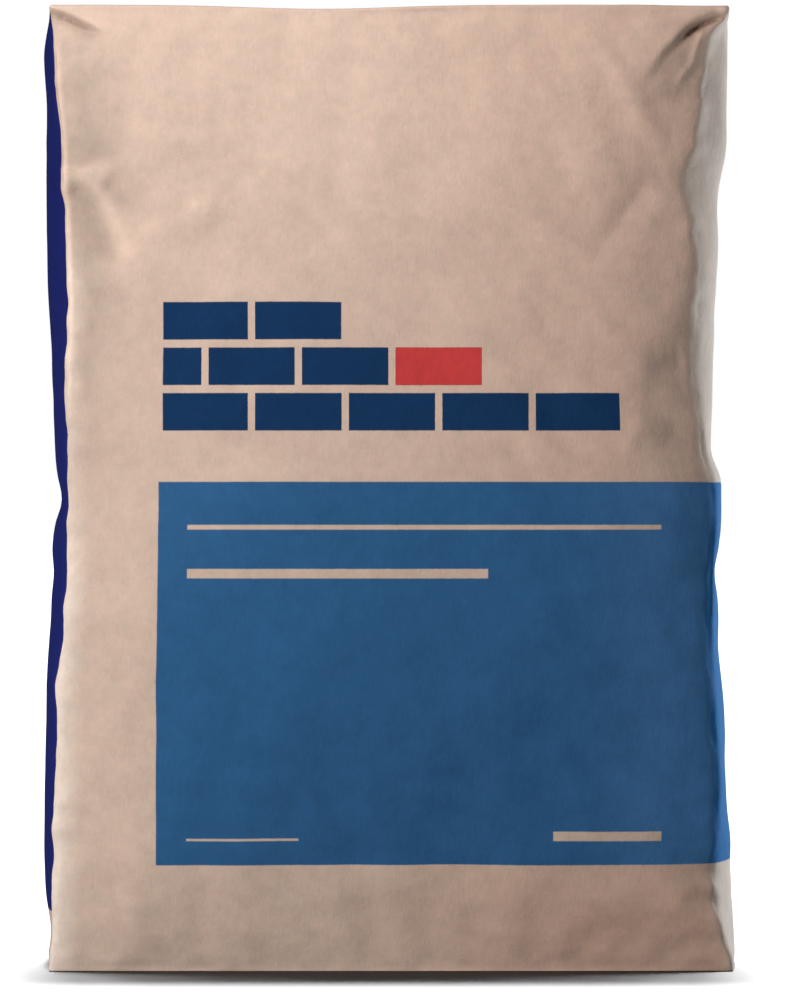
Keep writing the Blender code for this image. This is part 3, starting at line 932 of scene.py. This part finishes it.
# The folded ends: flaps over the tucked gussets, a patch over the flaps, and the valve's sleeve. Grids are
# points along and across
ends = {
    "ply": 0.0005,
    "flapGrid": (120, 30),
    "flapCrowding": 1.5,  # higher: rows closer together at the flap's fold
    "flapSunk": 0.0004,  # how far the flap starts under the sack's edge, besides its own ply
    "flapLift": 0.0002,
    "overlapFrom": 0.0135,  # the second flap lies on the first within this distance of the middle
    "overlapEase": 0.006,
    "overlapLift": 0.0006,
    "backFlapEnd": 0.02,
    "flapReach": 0.071,
    "flapFrom": 0.0562,
    "flapHalf": 0.2050,
    "flapRise": 0.0060,
    "patchHalfDepth": 0.046,
    "patchLeft": -0.190,
    "patchRight": 0.174,
    "patchGrid": (130, 40),
    "patchPly": 0.0004,
    "patchLift": 0.0009,
    "patchEdge": (0.004, 0.0003),  # width of the pressed rim, and how much lower it is
    # Where the patch rises over the sleeve: from and to along, from and to across, and by how much
    "overSleeve": ((0.140, 0.150), (0.043, 0.0455), 0.0006),
    "bottomHalf": 0.190,
    "bottomGrid": (60, 16),
    "bottomPly": 0.0006,
    "sleeveFrom": 0.150,
    "sleeveTo": 0.2000,
    "sleeveHalfDepth": 0.0430,
    "sleeveTipHalfDepth": 0.0395,
    "sleeveGrid": (30, 24),
    "sleeveNarrows": 0.4,  # the share of its length at which it starts to narrow
    "sleeveRises": 0.7,  # the share of its length at which it starts to rise
    "sleeveLift": 0.0008,
    "sleeveTipLift": 0.0003,
}


def flapGrid(sideways, lift, ply):
    # A trapezoid flap: its fold lies along one long edge of the end, and its short edges run in at 45
    # degrees. It comes up out of the sack's own edge over the first few millimetres
    columns, rows = ends["flapGrid"]
    reach = (ends["flapReach"] * np.linspace(0, 1, rows) ** ends["flapCrowding"])[:, None]
    share = np.linspace(-1, 1, columns)[None, :]
    x = share * (ends["flapHalf"] - reach)
    y = sideways * (ends["flapFrom"] - reach) * np.ones_like(share)
    sunk = 1 - smooth(0, ends["flapRise"], reach)
    z = lift(x, y) + topSag(x) + sack["top"] - (ply + ends["flapSunk"]) * sunk
    inner = np.stack([x, y, z], axis=2)
    if sideways > 0:
        inner = inner[::-1]
    return inner, inner + (0, 0, ply)


def overlap(y):
    # 1 where the second flap lies on the first one, and 0 beyond its edge
    edge = ends["overlapFrom"]
    return 1 - smooth(edge, edge + ends["overlapEase"], np.abs(y))


def patchLift(x, y):
    # How high the patch lies over the end: over both flaps in the middle, and over the sleeve at its end
    half, (rim, lower) = ends["patchHalfDepth"], ends["patchEdge"]
    rampAlong, rampAcross, lift = ends["overSleeve"]
    onEdge = smooth(half - rim, half, np.abs(y))
    overSleeve = smooth(*rampAlong, x) * (1 - smooth(*rampAcross, np.abs(y)))
    return ends["patchLift"] + ends["overlapLift"] * overlap(y) - lower * onEdge + lift * overSleeve


def frontFlapLift(x, y):
    # The front flap lies flat on the end
    return ends["flapLift"] + 0 * x + 0 * y


def backFlapLift(x, y):
    # The back flap steps up where it lies over the front one
    onFront = overlap(np.minimum(y, 0.0)) * (y < ends["backFlapEnd"])
    return ends["flapLift"] + ends["overlapLift"] * onFront + 0 * x


def patchPlaces(left, right, grid):
    # Even points over a patch, from left to right and over its whole depth
    columns, rows = grid
    half = ends["patchHalfDepth"]
    return np.meshgrid(np.linspace(left, right, columns), np.linspace(-half, half, rows))


print("folded ends")
for name, sideways, lift in (("topFrontFlap", -1, frontFlapLift), ("topBackFlap", 1, backFlapLift)):
    flap = sheetMesh(name, *flapGrid(sideways, lift, ends["ply"]))
    addPiece(name, flap, plainKraft, "kraft_paper")

x, y = patchPlaces(ends["patchLeft"], ends["patchRight"], ends["patchGrid"])
z = sack["top"] + topSag(x) + patchLift(x, y)
inner = np.stack([x, y, z], axis=2)
patch = sheetMesh("topPatch", inner, inner + (0, 0, ends["patchPly"]))
addPiece("topPatch", patch, patchKraft, "patch_kraft", "top_patch")

columns, rows = ends["sleeveGrid"]
share, across = np.meshgrid(np.linspace(0, 1, columns), np.linspace(-1, 1, rows))
x = ends["sleeveFrom"] + (ends["sleeveTo"] - ends["sleeveFrom"]) * share
narrower = ends["sleeveTipHalfDepth"] - ends["sleeveHalfDepth"]
half = ends["sleeveHalfDepth"] + narrower * smooth(ends["sleeveNarrows"], 1, share)
tipRise = ends["sleeveTipLift"] * smooth(ends["sleeveRises"], 1, share)
z = sack["top"] + topSag(x) + ends["sleeveLift"] + tipRise
inner = np.stack([x, across * half, z], axis=2)
sleeve = sheetMesh("valveSleeve", inner, inner + (0, 0, ends["patchPly"]))
addPiece("valveSleeve", sleeve, sleevePaper, "sleeve_kraft", "valve_sleeve")

x, y = patchPlaces(-ends["bottomHalf"], ends["bottomHalf"], ends["bottomGrid"])
inner = np.stack([x, y, 0 * x], axis=2)
bottomPatch = sheetMesh("bottomPatch", inner, inner + (0, 0, ends["bottomPly"]))
addPiece("bottomPatch", bottomPatch, patchKraft, "patch_kraft", "bottom_patch")

# The glued seam up the back: the paper's own edge laps over the tube
seam = {
    "from": -0.398,
    "to": -0.360,
    "height": 0.0006,
    "edgeHeight": 0.0001,
    "easeShare": 0.25,  # the share of its width over which it rises
    "sunk": 0.0003,
    "skippedRows": 2,  # of the wall's rounded edges
}
print("back seam")
firstWall = paper["capRows"] + seam["skippedRows"]
strip = slice(*np.searchsorted(around, (seam["from"], seam["to"])))
place = np.linspace(0, 1, strip.stop - strip.start)
lift = seam["edgeHeight"] + (seam["height"] - seam["edgeHeight"]) * smooth(0, seam["easeShare"], place)
wallBlock, wallNormals = body[firstWall:-firstWall, strip], normals[firstWall:-firstWall, strip]
outer = wallBlock + lift[None, :, None] * wallNormals
seamMesh = sheetMesh("backSeam", wallBlock - seam["sunk"] * wallNormals, outer)
addPiece("backSeam", seamMesh, plainKraft, "kraft_paper")

# Floor, lights and camera. The floor and the world look white from the camera, and light the sack less
studio = {"floorHalf": 30, "floorSeen": 0.2, "floorGlow": 0.037, "worldGlow": 0.082}
floorMesh = bpy.data.meshes.new("floor")
half = studio["floorHalf"]
corners = [(-half, -half, 0), (half, -half, 0), (half, half, 0), (-half, half, 0)]
floorMesh.from_pydata(corners, [], [(0, 1, 2, 3)])
floor = bpy.data.objects.new("floor", floorMesh)
bpy.context.scene.collection.objects.link(floor)
floorNodes = Nodes("floorPaint")
seen = floorNodes.add("ShaderNodeLightPath").outputs["Is Camera Ray"]
tones = [(*[studio[name]] * 3, 1) for name in ("floorGlow", "floorSeen")]
matt = floorNodes.add("ShaderNodeBsdfDiffuse", {"Color": floorNodes.mixed(seen, *tones)}).outputs[0]
floorNodes.tree.links.new(matt, floorNodes.tree.nodes["Material Output"].inputs["Surface"])
floorNodes.tree.nodes.remove(floorNodes.shader)
floorMesh.materials.append(floorNodes.material)
floorLit = bpy.data.collections.new("floorLit")
floorLit.objects.link(floor)

# Area lamps that light the sack: a square of this size at a place, aimed at another, with its watts
lamps = {
    "key": {
        "at": (-0.10, -0.45, 0.88), "aim": (-0.1, 0, 0.4),
        "size": 0.3, "power": 2.70, "tint": (0.87, 0.89, 0.95),
    },
    "side": {
        "at": (-1.0, -1.0, 0.2), "aim": (-0.1, 0, 0.25),
        "size": 0.5, "power": 18.2, "tint": (0.90, 0.945, 1),
    },
    "rim": {
        "at": (1.30, 0.85, 0.21), "aim": (0.2, 0, 0.21),
        "size": 0.5, "power": 41, "tint": (0.66, 0.84, 1),
    },
    "right": {
        "at": (1.50, -0.05, 0.25), "aim": (0.2, 0, 0.25),
        "size": 0.5, "power": 2.8, "tint": (0.45, 0.72, 1),
    },
}

# Light from far above. The sack's own is one soft beam. The floor's is a fan of beams that lean from side
# to side and come a little from behind, so that the sack's shadow lies close in front of it, darkest in its
# middle. Spreads and leans are in degrees, and each lean has its share of the power
beams = {
    "sackPower": 0.8,
    "sackSpread": 40,
    "floorPower": 27.3,
    "floorSpread": 5.5,
    "floorLeans": {0: 0.49, 6: 0.130, 14: 0.056, 23: 0.022, 33: 0.012},
    "floorFromBehind": 7.1,
}


def aimed(thing, target):
    # Turns a light or a camera so that its -Z axis points at the target
    thing.rotation_mode = "QUATERNION"
    thing.rotation_quaternion = (Vector(target) - thing.location).to_track_quat("-Z", "Y")


def lightFor(name, kind, power, receivers, **settings):
    # Adds a light that shines only on the given things, though everything still shades them
    lamp = bpy.data.lights.new(name, kind)
    lamp.energy = power
    for key, value in settings.items():
        setattr(lamp, key, value)
    light = bpy.data.objects.new(name, lamp)
    light.light_linking.receiver_collection = receivers
    bpy.context.scene.collection.objects.link(light)
    return light


for name, plan in lamps.items():
    lamp = lightFor(name, "AREA", plan["power"], lampLit, size=plan["size"], color=plan["tint"])
    lamp.location = plan["at"]
    aimed(lamp, plan["aim"])

lightFor("overhead", "SUN", beams["sackPower"], lampLit, angle=math.radians(beams["sackSpread"]))
spread = math.radians(beams["floorSpread"])
fromBehind = math.tan(math.radians(beams["floorFromBehind"]))
for lean, share in beams["floorLeans"].items():
    for side in (-1, 1) if lean else (1,):
        beam = lightFor("floorBeam", "SUN", beams["floorPower"] * share, floorLit, angle=spread)
        beam.location = (side * math.tan(math.radians(lean)), fromBehind, 1)
        aimed(beam, (0, 0, 0))

world = bpy.data.worlds.new("studio")
world.use_nodes = True
sky = world.node_tree
seen = sky.nodes.new("ShaderNodeLightPath").outputs["Is Camera Ray"]
strength = sky.nodes.new("ShaderNodeMapRange")
strength.inputs["To Min"].default_value = studio["worldGlow"]
sky.links.new(seen, strength.inputs["Value"])
sky.links.new(strength.outputs[0], sky.nodes["Background"].inputs["Strength"])
sky.nodes["Background"].inputs["Color"].default_value = (1, 1, 1, 1)
bpy.context.scene.world = world
bpy.context.scene.view_settings.view_transform = "Standard"

# The camera looks level at the front. Its lens and sensor are in millimetres
shot = {"at": (0.008, -2.58, 0.3015), "aim": (0.008, 0, 0.3015), "lens": 142, "sensor": 36}
lens = bpy.data.cameras.new("camera")
lens.lens = shot["lens"]
lens.sensor_width = shot["sensor"]
camera = bpy.data.objects.new("camera", lens)
camera.location = shot["at"]
aimed(camera, shot["aim"])
bpy.context.scene.collection.objects.link(camera)
bpy.context.scene.camera = camera

bpy.context.view_layer.update()
